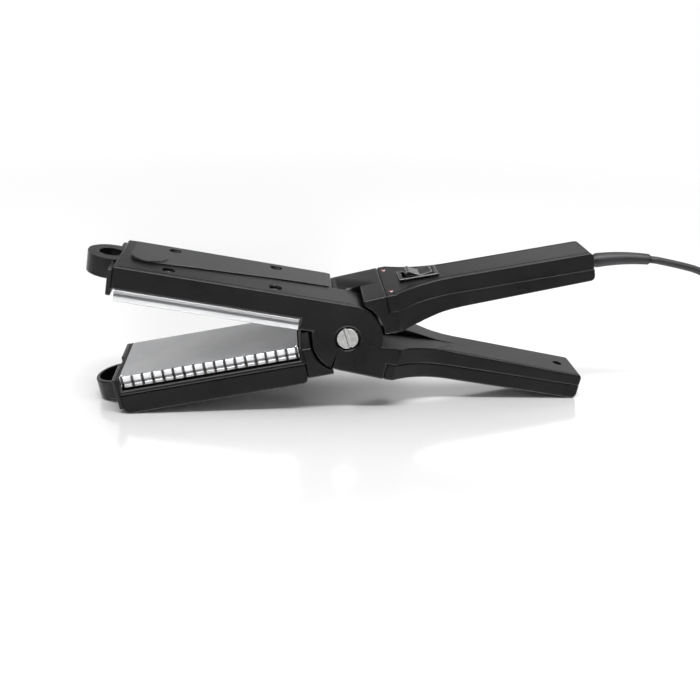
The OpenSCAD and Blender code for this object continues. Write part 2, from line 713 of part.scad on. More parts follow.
module rear_arm() color("#242426") on_rear() difference() {
    side = half_w + cover_proud;
    union() {
        difference() {
            union() {
                hub_solid(neck_x);
                block(-neck_x - wall, -neck_x + 1, -half_w, half_w, neck_under + 0.5, jaw_parting);
                block(-jaw_end, -neck_x, -side, side, lower_side_z, jaw_parting);
                block(-jaw_end, -jaw_end + end_wall, -side, side, lip_z, lower_side_z);
                block(-plate_start + plate_play, -neck_x, -side, side, 0.4, lower_side_z);
            }
            block(-jaw_end + wall, -neck_x - wall, -half_w + wall, half_w - wall, 6, lower_jaw_h);
            hub_cuts();
        }
        grip_boss(upper_grip_screw_x);
        for (s = [-1, 1]) block(clamp_x - 3, clamp_x + 3, s * clamp_y - 3, s * clamp_y + 3, -clamp_seat_z, -5);
        block(clamp_x - 3, clamp_x + 3, -clamp_y, clamp_y, -relief_z + sheath_r, -5);
    }
    grip_boss_cuts(upper_grip_screw_x);
    relief_hole();
    for (s = [-1, 1]) post(clamp_x, s * clamp_y, screw_r, -clamp_seat_z - 1, -clamp_seat_z + 2.6);
}

neck_r = 2.9;
clamp_x = handle_reach - 18;
clamp_y = 7;
clamp_seat_z = 10.4;
clamp_t = 2;
sheath_r = 1.9;
clamp_top = relief_z + sheath_r + clamp_t;

// Hole in the handle's end that the strain relief's neck passes through
module relief_hole() {
    translate([handle_reach - 5, 0, -relief_z]) rotate([0, 90, 0]) cylinder(r = neck_r + 0.1, h = 10);
}

module upper_handle_cover() color("#242426") on_rear() {
    difference() {
        grip_cover(upper_handle_h);
        block(switch_x - switch_cut_l / 2 - 0.2, switch_x + switch_cut_l / 2 + 0.2, -switch_cut_w / 2 - 0.2,
            switch_cut_w / 2 + 0.2, -root_h - 1, -root_h + 5);
        for (s = [-1, 1]) post(lamp_x, s * lamp_y, lens_r + 0.1, -root_h - 1, -root_h + 5);
        relief_hole();
    }
    cover_post(upper_grip_screw_x, upper_handle_h);
    for (s = [-1, 1]) for (x = [board_x - board_l / 2 + 3, board_x + board_l / 2 - 3])
        post(x, s * (board_w / 2 - 2.5), 1.6, -upper_handle_h + wall - 0.1, -board_z - board_t);
}

// Rocker switch: flanged case that drops into the cover, open towards the rocker
module switch_case() color("#141416") on_rear() translate([switch_x, 0, -root_h]) difference() {
    union() {
        block(-bezel_l / 2, bezel_l / 2, -bezel_w / 2, bezel_w / 2, -bezel_t, 0);
        block(-switch_cut_l / 2, switch_cut_l / 2, -switch_cut_w / 2, switch_cut_w / 2, -0.5, case_deep);
    }
    block(-rocker_l / 2 - 0.4, rocker_l / 2 + 0.4, -rocker_w / 2 - 0.3, rocker_w / 2 + 0.3, -bezel_t - 1, 8);
    translate([0, 0, rocker_axis]) pin_y(rocker_pin_r + 0.05, -bezel_w / 2 + 1.6, bezel_w / 2 - 1.6);
}

case_deep = 12;
rocker_axis = 3;
rocker_pin_r = 1.2;

// Rocker: two flats that meet in a shallow V, turned on a pin through the case
module switch_rocker() color("#0e0e10") on_rear() translate([switch_x, 0, -root_h + rocker_axis])
    rotate([0, -rocker_throw / 2, 0]) {
        end = rocker_l / 2 - 1;
        along_y(-rocker_w / 2, rocker_w / 2) polygon([[0, 2], [-5.2, 0.6], [-end - 0.5, -2.6], [-end, -6],
            [-end + 0.8, -6.6], [0, -4.6], [end - 0.8, -6.6], [end, -6], [end + 0.5, -2.6], [5.2, 0.6]]);
        pin_y(rocker_pin_r, -bezel_w / 2 + 1.7, bezel_w / 2 - 1.7);
    }

terminal_x = 5.5;
blade_half = 2.4;
terminal_z = -root_h + case_deep;

module switch_terminals() color("#c9a24a") on_rear() translate([switch_x, 0, terminal_z])
    for (x = [-terminal_x, terminal_x]) block(x - 0.4, x + 0.4, -blade_half, blade_half, 0, 2.8);

// Board on four posts in the upper handle, with a relay block, a capacitor and two small parts
module circuit_board() color("#2f6b3c") on_rear() {
    block(board_x - board_l / 2, board_x + board_l / 2, -board_w / 2, board_w / 2, -board_z - board_t, -board_z);
    block(board_x - 6, board_x + 6, 0.5, 6, -board_z, -board_z + 3);
    post(board_x - 10, 3, 1.8, -board_z, -board_z + 3);
    for (y = [-5.6, -1.8]) block(board_x + 3, board_x + 11, y - 1, y + 1, -board_z, -board_z + 2);
}

module lamp_lens(s) {
    translate([lamp_x, s * lamp_y, -root_h - 0.3]) {
        cylinder(r = lens_r, h = wall + 0.8);
        translate([0, 0, wall + 0.3]) cylinder(r = lens_r + 0.5, h = 0.8);
    }
}

module near_lamp_lens() color("#c2403a") on_rear() lamp_lens(1);

module far_lamp_lens() color("#c2403a") on_rear() lamp_lens(-1);

module lamp_leds() color("#e8d8d0") on_rear() for (s = [-1, 1])
    translate([lamp_x, s * lamp_y, -root_h + wall + 0.8]) {
        cylinder(r = 1.5, h = 3);
        translate([-1.9, -1.9, 2.9]) cube([3.8, 3.8, 0.8]);
    }

module cord_clamp() color("#1a1a1c") on_rear() difference() {
    union() {
        block(clamp_x - 2.5, clamp_x + 2.5, -clamp_y - 2.5, clamp_y + 2.5, -clamp_top, -clamp_top + clamp_t);
        for (s = [-1, 1]) block(clamp_x - 2.5, clamp_x + 2.5, s * clamp_y - 2.5, s * clamp_y + 2.5,
            -clamp_top, -clamp_seat_z);
    }
    for (s = [-1, 1]) post(clamp_x, s * clamp_y, screw_r, -clamp_top - 1, 0);
}

module cord_clamp_screws() color("#5a5c5f") on_rear() for (s = [-1, 1]) {
    post(clamp_x, s * clamp_y, 2.3, -clamp_top - 1.4, -clamp_top);
    post(clamp_x, s * clamp_y, screw_r, -clamp_top, -clamp_seat_z + 2.4);
}

core_r = 0.9;
core_z = -7.8;
core_top = -6;

// Sheathed end of the cord inside the handle and its two cores, which run round the board to the switch
module mains_cores() color("#5c4a3c") on_rear() {
    board_end = board_x + board_l / 2;
    blade_z = terminal_z + 1.5;
    translate([clamp_x - 5, 0, -relief_z]) rotate([0, 90, 0]) cylinder(r = sheath_r, h = handle_reach - clamp_x + 1);
    for (s = [-1, 1]) tube([[clamp_x - 5, s * 0.95, -relief_z], [clamp_x - 10, s * 5.6, -relief_z - 0.6],
        [board_end + 6, s * 5.6, -relief_z - 0.6], [board_end + 2, s * 9.7, core_z], [switch_x + 14.5, s * 9.7, core_z],
        [switch_x + 11.5, s * 8.4, core_top], [switch_x + s * terminal_x, s * 8.4, core_top],
        [switch_x + s * terminal_x, s * blade_half, blade_z]], core_r, 8);
}

// Tapered sleeve that bends with the cord: a short neck, then a bulge that tapers to the tip
module strain_relief() color("#1a1a1c") on_rear() {
    n = 16;
    path = [for (i = [0:n]) let (a = relief_bend * i / n)
        [relief_start + relief_arc * sin(a), 0, -relief_z + relief_arc * (1 - cos(a))]];
    radii = [for (i = [0:n]) i < 2 ? neck_r + 0.3 : relief_r0 + (relief_r1 - relief_r0) * (i - 2) / (n - 2)];
    tube(path, radii, 16);
    translate([handle_reach - wall - 2.7, 0, -relief_z]) rotate([0, 90, 0]) difference() {
        union() {
            cylinder(r = neck_r, h = wall + 3.2);
            cylinder(r = neck_r + 1.3, h = 2.5);
        }
        translate([0, 0, -1]) cylinder(r = cord_r + 0.1, h = 3.6);
    }
}

run_path = concat([cord_exit], curve(run_points, 4), [run_end]);

module cord_run() color("#1b1b1d") tube(run_path, cord_r, 8);

// Radius of the coil's spiral in turns from its start: in, out, in and out again at one rate
function coil_radius(t) = let (u = t / layer_turns, k = floor(u), w = u - k)
    coil_out - layer_turns * turn_step * (k % 2 == 0 ? w : 1 - w);
function climb(x) = x < 0 ? 0 : x > 1 ? 1 : x * x * (3 - 2 * x);
function coil_height(t) = coil_z + turn_step * sum_of([for (k = [1:layer_count - 1])
    climb((t - k * layer_turns) / 0.5 + 0.5)]);
function coil_point(t) = let (a = -90 + 360 * t, r = coil_radius(min(t, coil_turns - 0.0001)))
    [coil_x + r * cos(a), coil_y + r * sin(a), coil_height(t)];
coil_rings = 24;
coil_path = [for (i = [0:coil_turns * coil_rings]) coil_point(i / coil_rings)];
coil_gap = min([for (i = [0:len(coil_path) - 1]) for (j = [i + coil_rings / 2:2:len(coil_path) - 1])
    norm(coil_path[i] - coil_path[j])]) - cord_d;
echo(coil_least_gap = coil_gap, coil_length = length_of(coil_path), run_length = length_of(run_path),
    tail_length = length_of(curve(tail_points, 4)));

module cord_coil() color("#1b1b1d") {
    tail = curve(tail_points, 4);
    tube(concat([coil_path[0] - [cord_d, 0, 0]], coil_path, [for (i = [1:len(tail) - 1]) tail[i]]), cord_r, 6);
}

tie_w = 7;
tie_in = coil_out - layer_turns * turn_step - cord_r - 0.8;
tie_out = coil_out + cord_r + 0.6;

// Strap round the coil's turns
module cord_tie() color("#2a2a2c") translate([coil_x, coil_y, 0]) rotate([0, 0, 135]) difference() {
    block(tie_in - tie_t, tie_out + tie_t, -tie_w / 2, tie_w / 2, 0, coil_top + cord_r + 0.2 + tie_t);
    block(tie_in, tie_out, -tie_w, tie_w, tie_t, coil_top + cord_r + 0.2);
}

plug_l = 36;
plug_w = 35;
pin_gap = 18.6;
plug_pin_r = 2;
plug_pin_l = 19;
pin_root_r = 1.5;
pin_root_l = 8;

// Flat two-pin plug: wide at the pins, waisted towards the cord
module plug_body() color("#1b1b1d") translate(plug_back) rotate([0, 0, -90]) difference() {
    translate([0, 0, -plug_t / 2]) linear_extrude(plug_t) polygon(concat(
        [[-4, 0], [-4.5, 7], [-9, 13], [-plug_w / 2 + 2, 19]],
        arc_points(-plug_w / 2 + 3, plug_l - 3, 3, 180, 90), arc_points(plug_w / 2 - 3, plug_l - 3, 3, 90, 0),
        [[plug_w / 2 - 2, 19], [9, 13], [4.5, 7], [4, 0]]));
    for (s = [-1, 1]) translate([0, 0, s * plug_t / 2]) block(-6, 6, -1, 11, -2.4, 2.4);
    for (s = [-1, 1]) translate([s * pin_gap / 2, plug_l - pin_root_l, 0]) rotate([-90, 0, 0])
        cylinder(r = pin_root_r, h = pin_root_l + 1);
}

// Each pin stands on the plug's face with a thinner root moulded in
module plug_pins() color("#c4c6c8") translate(plug_back) rotate([0, 0, -90]) for (s = [-1, 1])
    translate([s * pin_gap / 2, plug_l, 0]) rotate([-90, 0, 0]) {
        cylinder(r = plug_pin_r, h = plug_pin_l);
        translate([0, 0, -pin_root_l]) cylinder(r = pin_root_r, h = pin_root_l + 1);
    }

front_arm();
lower_handle_cover();
upper_jaw_inlay();
upper_tip_cap();
upper_plate();
upper_plate_carrier();
upper_heater();
upper_heater_clip();
upper_jaw_screws();
lower_handle_screw();
front_leads();
front_bush();
rear_arm();
lower_jaw_cover();
upper_handle_cover();
lower_tip_cap();
lower_plate();
lower_plate_carrier();
lower_heater();
lower_heater_clip();
thermostat();
thermal_fuse();
lower_jaw_screws();
upper_handle_screw();
rear_leads();
rear_bush();
pivot_barrel();
pivot_screw();
return_spring();
switch_case();
switch_rocker();
switch_terminals();
circuit_board();
near_lamp_lens();
far_lamp_lens();
lamp_leds();
mains_cores();
cord_clamp();
cord_clamp_screws();
strain_relief();
cord_run();
cord_coil();
cord_tie();
plug_body();
plug_pins();
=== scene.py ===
"""Hair straightener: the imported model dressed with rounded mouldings, a real cord and finished surfaces."""
import json
import math

import bmesh
import bpy
import numpy as np
from mathutils import Matrix, Vector


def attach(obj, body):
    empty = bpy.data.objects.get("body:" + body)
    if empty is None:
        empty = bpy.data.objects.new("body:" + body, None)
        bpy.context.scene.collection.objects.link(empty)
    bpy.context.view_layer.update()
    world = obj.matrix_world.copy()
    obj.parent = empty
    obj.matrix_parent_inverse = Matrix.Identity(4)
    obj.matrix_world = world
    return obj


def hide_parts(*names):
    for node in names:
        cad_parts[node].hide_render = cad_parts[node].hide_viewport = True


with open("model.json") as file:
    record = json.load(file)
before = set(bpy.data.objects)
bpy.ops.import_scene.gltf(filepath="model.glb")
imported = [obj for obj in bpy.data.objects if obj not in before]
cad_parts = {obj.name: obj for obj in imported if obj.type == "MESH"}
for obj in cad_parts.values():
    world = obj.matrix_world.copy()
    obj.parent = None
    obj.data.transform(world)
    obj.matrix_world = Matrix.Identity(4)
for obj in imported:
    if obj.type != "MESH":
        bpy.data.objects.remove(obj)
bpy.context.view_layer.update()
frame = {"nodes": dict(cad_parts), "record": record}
nodes = frame["nodes"]
record = frame["record"]
MM = 0.001

# Places and sizes that the frame gives
mounts = {m["name"]: m for m in record["mounts"]}
joints = {j["name"]: j for j in record["behaviour"]["joints"]}
pivot = Vector(joints["jaw_hinge"]["pos_m"])
lower_face = mounts["lower_plate_face"]["axis"]
rear_tilt = math.atan2(-lower_face[0], lower_face[2])

# The rear arm's own frame in millimetres: jaw towards -X, plate facing the plane z = 0
on_rear = (Matrix.Translation(pivot) @ Matrix.Rotation(-rear_tilt, 4, "Y") @ Matrix.Rotation(math.pi, 4, "X")
           @ Matrix.Scale(MM, 4))


# Camera: solved from the straight edges of both arms in the photograph
PHOTO_PX = 700
FOCAL_PX = 870
SENSOR_MM = 36
CLIP_NEAR = 0.01
CLIP_FAR = 100
PITCH = math.radians(22.32)
YAW = math.radians(4.89)
ROLL = math.radians(1.48)
CAMERA_AT = Vector((pivot.x - 0.0342, -0.43965, pivot.z + 0.16479))


def photo_camera():
    """A camera whose view axis is turned by YAW and PITCH from +Y and then rolled by ROLL about itself."""
    data = bpy.data.cameras.new("camera")
    data.sensor_width = SENSOR_MM
    data.lens = FOCAL_PX / PHOTO_PX * SENSOR_MM
    data.clip_start = CLIP_NEAR
    data.clip_end = CLIP_FAR
    ahead = Vector((math.sin(YAW) * math.cos(PITCH), math.cos(YAW) * math.cos(PITCH), -math.sin(PITCH)))
    level = Vector((math.cos(YAW), -math.sin(YAW), 0))
    above = level.cross(ahead)
    right = level * math.cos(ROLL) + above * math.sin(ROLL)
    up = above * math.cos(ROLL) - level * math.sin(ROLL)
    turn = Matrix((right, up, -ahead)).transposed().to_4x4()
    camera = bpy.data.objects.new("camera", data)
    camera.matrix_world = Matrix.Translation(CAMERA_AT) @ turn
    bpy.context.collection.objects.link(camera)
    bpy.context.scene.camera = camera


photo_camera()


# Shapes
def new_piece(name, points, faces, smooth=True):
    """A mesh object at the origin from points in metres and faces as lists of point numbers."""
    mesh = bpy.data.meshes.new(name)
    mesh.from_pydata([tuple(p) for p in points], [], faces)
    mesh.polygons.foreach_set("use_smooth", np.full(len(mesh.polygons), smooth))
    mesh.update()
    piece = bpy.data.objects.new(name, mesh)
    bpy.context.collection.objects.link(piece)
    return piece


def grid_faces(rows, columns):
    """Four-sided faces of a grid of rows by columns of points, whose last column joins the first."""
    i = np.arange(rows - 1)[:, None]
    j = np.arange(columns)[None, :]
    k = (j + 1) % columns
    corners = [i * columns + j, i * columns + k, (i + 1) * columns + k, (i + 1) * columns + j]
    return np.stack(corners, -1).reshape(-1, 4).tolist()


def placed(points, matrix):
    """Points moved by a matrix, such as from an arm's own millimetres to the shared frame in metres."""
    m = np.array(matrix)
    return np.asarray(points, float) @ m[:3, :3].T + m[:3, 3]


def smooth_route(points, steps):
    """Points on the smooth curve through the listed points, with the given number of steps between each two.

    Between b and c, with a before and d after, the point at u is half of
    2b + (c - a)u + (2a - 5b + 4c - d)u^2 + (3b - a - 3c + d)u^3.
    """
    p = np.asarray(points, float)
    q = np.vstack([p[:1], p, p[-1:]])
    a, b, c, d = (q[k:len(q) - 3 + k, None] for k in range(4))
    u = (np.arange(steps) / steps)[None, :, None]
    line = 0.5 * (2 * b + (c - a) * u + (2 * a - 5 * b + 4 * c - d) * u ** 2
                  + (3 * b - a - 3 * c + d) * u ** 3)
    return np.vstack([line.reshape(-1, 3), p[-1:]])


def tube(name, route, radii, sides):
    """A round tube with closed ends: a ring of the given radius at each point of the route, square to it."""
    route = np.asarray(route, float)
    ahead = np.gradient(route, axis=0)
    ahead /= np.linalg.norm(ahead, axis=1)[:, None]
    across = np.cross([0, 0, 1], ahead)
    across /= np.linalg.norm(across, axis=1)[:, None]
    above = np.cross(ahead, across)
    turn = np.linspace(0, 2 * math.pi, sides, endpoint=False)
    radii = np.broadcast_to(radii, len(route))[:, None, None]
    rings = route[:, None] + radii * (across[:, None] * np.cos(turn)[None, :, None]
                                      + above[:, None] * np.sin(turn)[None, :, None])
    points = np.vstack([rings.reshape(-1, 3), route[:1], route[-1:]])
    faces = grid_faces(len(route), sides)
    last_ring = (len(route) - 1) * sides
    first_hub = len(route) * sides
    for k in range(sides):
        m = (k + 1) % sides
        faces.append([first_hub, m, k])
        faces.append([first_hub + 1, last_ring + k, last_ring + m])
    return new_piece(name, points, [face[::-1] for face in faces])


def ease(x):
    """Rises smoothly from 0 to 1 while x goes from 0 to 1, and is held at both ends."""
    x = np.clip(x, 0, 1)
    return x ** 2 * (3 - 2 * x)


# Cord: its route repeats the points of the part's source. They are in metres in the shared frame, apart from
# the relief's, in millimetres in the rear arm's frame, and the tail's, in millimetres from the coil's end.
CORD_D = 0.004
CORD_SIDES = 12
ROUTE_STEPS = 4
COIL_AT = np.array([0.272, 0.004])
COIL_R = 0.024
COIL_TURNS = 10
LAYERS = 4
TURN_STEP = CORD_D + 0.00045
POINTS_A_TURN = 24
CLIMB_TURNS = 0.5
BEFORE_END = 0.0001
TIE_T = 0.0005
ABOVE_TIE = 0.00006
RELIEF_BEND = math.radians(16)
RELIEF_LEN = 34
RELIEF_X0 = 134.2
RELIEF_Z = -10.8
RUN = [[0.165, 0, 0.0735], [0.178, 0, 0.070], [0.190, -0.0014, 0.064], [0.201, -0.0034, 0.056],
       [0.211, -0.0068, 0.046], [0.220, -0.0108, 0.035], [0.229, -0.0156, 0.024], [0.238, -0.0203, 0.0135],
       [0.248, -0.0241, 0.0055], [0.257, -0.0254, 0.0028]]
TAIL = [[0, 0, 0], [4, 0, 0], [14, -0.6, 0.1], [23, -0.7, -1.3], [31, 0.7, -3.3], [38, 3.9, -5.1],
        [44.5, 8, -6.6], [51, 12, -7.8], [58, 14.8, -8.5]]
PLUG_FROM_COIL = [0.070, 0.0156]
PLUG_MIDDLE_Z = 0.00685


def relief_line(count):
    """Middle line of the strain relief in the rear arm's frame: an arc that leaves the handle straight."""
    arc = RELIEF_LEN / RELIEF_BEND
    a = np.linspace(0, RELIEF_BEND, count)
    return np.stack([RELIEF_X0 + arc * np.sin(a), 0 * a, RELIEF_Z + arc * (1 - np.cos(a))], 1)


def coil_line():
    """The stored coil: a flat spiral in, up a layer, out, up, in, up and out again, all at one rate.

    With t in turns and u = t / turns in a layer, the radius falls by one turn step a turn while u's whole
    part is even and grows while it is odd. Round each change the height rises by a turn step, over
    CLIMB_TURNS turns.
    """
    per_layer = COIL_TURNS / LAYERS
    outer = COIL_R + per_layer * TURN_STEP / 2
    t = np.arange(COIL_TURNS * POINTS_A_TURN + 1) / POINTS_A_TURN
    u = np.minimum(t, COIL_TURNS - BEFORE_END) / per_layer
    w = u - np.floor(u)
    radius = outer - per_layer * TURN_STEP * np.where(np.floor(u) % 2 == 0, w, 1 - w)
    layers_up = sum(ease((t - k * per_layer) / CLIMB_TURNS + 0.5) for k in range(1, LAYERS))
    low = TIE_T + CORD_D / 2 * math.sin(math.radians(60)) + ABOVE_TIE
    a = 2 * math.pi * t - math.pi / 2
    return np.stack([COIL_AT[0] + radius * np.cos(a), COIL_AT[1] + radius * np.sin(a),
                     low + TURN_STEP * layers_up], 1)


def make_cord():
    """The whole free cord as one tube, and its route: hanging run, coil and tail to the plug."""
    tip = placed(relief_line(2), on_rear)[-1]
    out = np.array([math.cos(rear_tilt - RELIEF_BEND), 0, math.sin(rear_tilt - RELIEF_BEND)])
    coil = coil_line()
    start = coil[0] - [2 * CORD_D, 0, 0]
    run = smooth_route(np.vstack([[tip + CORD_D * out], RUN, [start]]), ROUTE_STEPS)
    end = coil[-1]
    plug_back = np.array([end[0] + PLUG_FROM_COIL[0], end[1] + PLUG_FROM_COIL[1], PLUG_MIDDLE_Z])
    tail = smooth_route(np.vstack([end + MM * np.array(TAIL), [plug_back - [CORD_D, 0, 0]], [plug_back]]),
                        ROUTE_STEPS)
    route = np.vstack([[tip], run, [coil[0] - [CORD_D, 0, 0]], coil, tail[1:]])
    piece = tube("mains_cord", route, CORD_D / 2, CORD_SIDES)
    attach(piece, "rear_arm")
    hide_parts("cord_run", "cord_coil")
    return piece, route


cord, cord_route = make_cord()


# Materials: sizes and depths are in metres. The pairs are spans of depth, or of distance from the middle
# plane, over which painted shade darkens an aluminium plate's sides.
MOULD_GRAIN = 0.00035
FACE_DEPTH = 0.00012
# Painted shade: depths over which the plate's sides darken, a band of them that darkens more, and the distance
# from the middle below which the slots between the teeth go darkest.
SIDE_SHADE_DEPTHS = (0.0006, 0.0052)
RECESS_SHADE_OPENS = (0.0024, 0.003)
RECESS_SHADE_CLOSES = (0.0036, 0.0042)
SLOT_SHADE_ENDS = (0.0221, 0.0224)


class Level:
    """A number that varies over a surface or with direction. Arithmetic on it adds Math nodes."""

    def __init__(self, paint, socket):
        self.paint = paint
        self.socket = socket

    def _with(self, operation, first, second):
        return self.paint.add("ShaderNodeMath", {"operation": operation}, {0: first, 1: second})

    def __add__(self, other):
        return self._with("ADD", self, other)

    def __rsub__(self, other):
        return self._with("SUBTRACT", other, self)

    def __mul__(self, other):
        return self._with("MULTIPLY", self, other)

    def __gt__(self, other):
        return self._with("GREATER_THAN", self, other)

    def top(self, other):
        """The greater of the two."""
        return self._with("MAXIMUM", self, other)


class Nodes:
    """The nodes of a material or of the world."""

    def __init__(self, tree):
        self.tree = tree

    def add(self, kind, settings=None, inputs=None, output=0):
        """One node of the given kind with its settings and inputs; gives back one of its outputs."""
        node = self.tree.nodes.new(kind)
        for key, value in (settings or {}).items():
            setattr(node, key, value)
        for key, value in (inputs or {}).items():
            self.feed(node.inputs[key], value)
        return Level(self, node.outputs[output])

    def feed(self, socket, value):
        """Links a level to a socket, or gives the socket a plain value."""
        if isinstance(value, Level):
            self.tree.links.new(value.socket, socket)
        else:
            socket.default_value = value

    def range(self, level, low, high, start, end):
        """A level taken from start..end to low..high, held at both ends."""
        return self.add("ShaderNodeMapRange", None, {"Value": level, "From Min": start, "From Max": end,
                                                     "To Min": low, "To Max": high})


class Paint(Nodes):
    """A material being made, and the shader that its nodes feed."""

    def __init__(self, name):
        self.material = bpy.data.materials.new(name)
        self.material.use_nodes = True
        super().__init__(self.material.node_tree)
        self.shader = self.tree.nodes["Principled BSDF"]
        self.object = self.add("ShaderNodeTexCoord", output="Object")

    def set(self, **values):
        """Feeds the shader's own sockets; an underscore stands for a space in a socket's name."""
        for key, value in values.items():
            self.feed(self.shader.inputs[key.replace("_", " ")], value)

    def noise(self, size, detail, stretch=(1, 1, 1), rough=0.5):
        """Noise whose patches are about size across, stretched along the axes."""
        scale = tuple(1 / (size * s) for s in stretch)
        at = self.add("ShaderNodeMapping", None, {"Vector": self.object, "Scale": scale})
        return self.add("ShaderNodeTexNoise", None,
                        {"Vector": at, "Scale": 1.0, "Detail": detail, "Roughness": rough})

    def between(self, level, low, high):
        """Two colours, plain or varying, mixed by a level."""
        low, high = (c if isinstance(c, Level) else (*c, 1) for c in (low, high))
        return self.add("ShaderNodeMix", {"data_type": "RGBA"}, {0: level, 6: low, 7: high}, output=2)

    def bump(self, height, depth, strength):
        """A raised surface: height from 0 to 1 stands for depth."""
        return self.add("ShaderNodeBump", None, {"Height": height, "Distance": depth, "Strength": strength})


def grained_plastic(name, dark, light, rough, gloss, depth=0.00004):
    """Moulded plastic: spark-eroded grain, cloudy tone from handling, and patches of uneven gloss."""
    p = Paint(name)
    clouds = p.noise(0.03, detail=4)
    fine = p.noise(MOULD_GRAIN, detail=2, rough=0.6)
    p.set(Base_Color=p.between(p.range(clouds, 0, 1, 0.35, 0.65), dark, light), Specular_IOR_Level=gloss,
          Roughness=p.range(clouds * 0.6 + fine * 0.4, rough - 0.06, rough + 0.06, 0.3, 0.7),
          Normal=p.bump(fine, depth, 0.5))
    return p.material


def satin_aluminium(name):
    """Extruded aluminium: drawn sides with painted shade and a darker painted band of shade along them, and a
    grey coated face.

    The depth of a point is how far it lies behind its plate's mount; it is negative behind the other plate's.
    The sides get painted shade that darkens them with depth, and whatever lies nearer the middle than the slot
    walls behind the teeth is darkest of all, painted shade in the slots.
    """
    p = Paint(name)
    lines = p.noise(0.00025, detail=3, stretch=(60, 1, 1), rough=0.6)
    blast = p.noise(0.0002, detail=2)
    clouds = p.noise(0.02, detail=3)
    depths = []
    for mount in (mounts["lower_plate_face"], mounts["upper_plate_face"]):
        normal = Vector(mount["axis"]).normalized()
        height = p.add("ShaderNodeVectorMath", {"operation": "DOT_PRODUCT"}, {0: p.object, 1: normal},
                       output="Value")
        depths.append(normal.dot(mount["pos_m"]) - height)
    depth = depths[0].top(depths[1])
    face = (FACE_DEPTH - depth > 0) * (depth > -FACE_DEPTH)
    # Painted shade: the drawn sides darken with depth and more along a band, and the slots between the teeth
    # are darkest.
    side = p.range(depth, 0, 1, *SIDE_SHADE_DEPTHS)
    recess_shade = p.range(depth, 0, 1, *RECESS_SHADE_OPENS) * p.range(depth, 1, 0, *RECESS_SHADE_CLOSES)
    across = p.add("ShaderNodeSeparateXYZ", None, {0: p.object}, output="Y")
    within = p.range(across.top(0.0 - across), 1, 0, *SLOT_SHADE_ENDS)
    # Painted shade mixed into the sides' colour: drawn aluminium's own light grey, taken towards dark grey
    # where the shade is painted.
    bright = p.between((side * 0.6 + recess_shade * 0.6).top(within), (0.7, 0.705, 0.715), (0.1, 0.1, 0.103))
    coated = p.between(p.range(clouds, 0, 1, 0.35, 0.65), (0.36, 0.362, 0.37), (0.41, 0.412, 0.418))
    p.set(Base_Color=p.between(face, bright, coated), Metallic=1.0,
          Roughness=p.range(blast * 0.5 + lines * 0.5, 0.3, 0.42, 0.3, 0.7),
          Normal=p.bump(lines * 0.5 + blast * 0.5, 0.00002, 0.4))
    return p.material


def turned_metal(name, colour, rough):
    """Turned and plated metal with a faint lathe grain and tarnish in patches."""
    p = Paint(name)
    grain = p.noise(0.00015, detail=3, stretch=(1, 8, 1))
    patches = p.noise(0.002, detail=3)
    dim = tuple(0.72 * c for c in colour)
    p.set(Base_Color=p.between(p.range(patches, 0, 1, 0.3, 0.7), dim, colour), Metallic=1.0,
          Roughness=p.range(grain, rough - 0.07, rough + 0.07, 0.3, 0.7), Normal=p.bump(grain, 0.00001, 0.4))
    return p.material


def gloss_plastic(name, colour):
    """Polished plastic with a slight orange peel and finger haze."""
    p = Paint(name)
    peel = p.noise(0.0012, detail=1)
    haze = p.noise(0.006, detail=3)
    p.set(Base_Color=p.between(haze, colour, tuple(c * 1.25 for c in colour)),
          Roughness=p.range(haze, 0.16, 0.26, 0.35, 0.7), Normal=p.bump(peel, 0.00002, 0.3))
    return p.material


def soft_vinyl(name):
    """Cord and sleeve: soft black vinyl, dull with small scuffs."""
    p = Paint(name)
    scuffs = p.noise(0.0015, detail=4, rough=0.65)
    skin = p.noise(0.0003, detail=2)
    scuffed = p.range(scuffs, 0, 1, 0.55, 0.75)
    p.set(Base_Color=p.between(scuffed, (0.011, 0.011, 0.012), (0.024, 0.024, 0.025)),
          Specular_IOR_Level=0.22, Roughness=p.range(scuffs, 0.42, 0.6, 0.35, 0.7),
          Normal=p.bump(skin, 0.00003, 0.4))
    return p.material


def woven_sleeve(name, colour):
    """Woven heat-proof sleeve of a lead: fine uneven threads that run lengthwise."""
    p = Paint(name)
    threads = p.noise(0.0004, detail=2, stretch=(2, 1, 1))
    p.set(Base_Color=p.between(threads, tuple(c * 0.6 for c in colour), colour), Roughness=0.85,
          Normal=p.bump(threads, 0.0001, 0.6))
    return p.material


def dull_ceramic(name, colour, rough=0.6):
    """Fired or laminated matter: mottled colour and a dry surface."""
    p = Paint(name)
    spots = p.noise(0.0015, detail=4)
    dim = tuple(c * 0.82 for c in colour)
    p.set(Base_Color=p.between(p.range(spots, 0, 1, 0.35, 0.65), dim, colour),
          Roughness=p.range(spots, rough - 0.08, rough + 0.08, 0.35, 0.65),
          Normal=p.bump(spots, 0.00003, 0.4))
    return p.material


def lamp_lens(name):
    """Translucent red lens, darker in its depth."""
    p = Paint(name)
    depth = p.noise(0.0008, detail=2)
    p.set(Base_Color=p.between(depth, (0.07, 0.007, 0.006), (0.17, 0.018, 0.015)), Roughness=0.12,
          Coat_Weight=0.6)
    return p.material


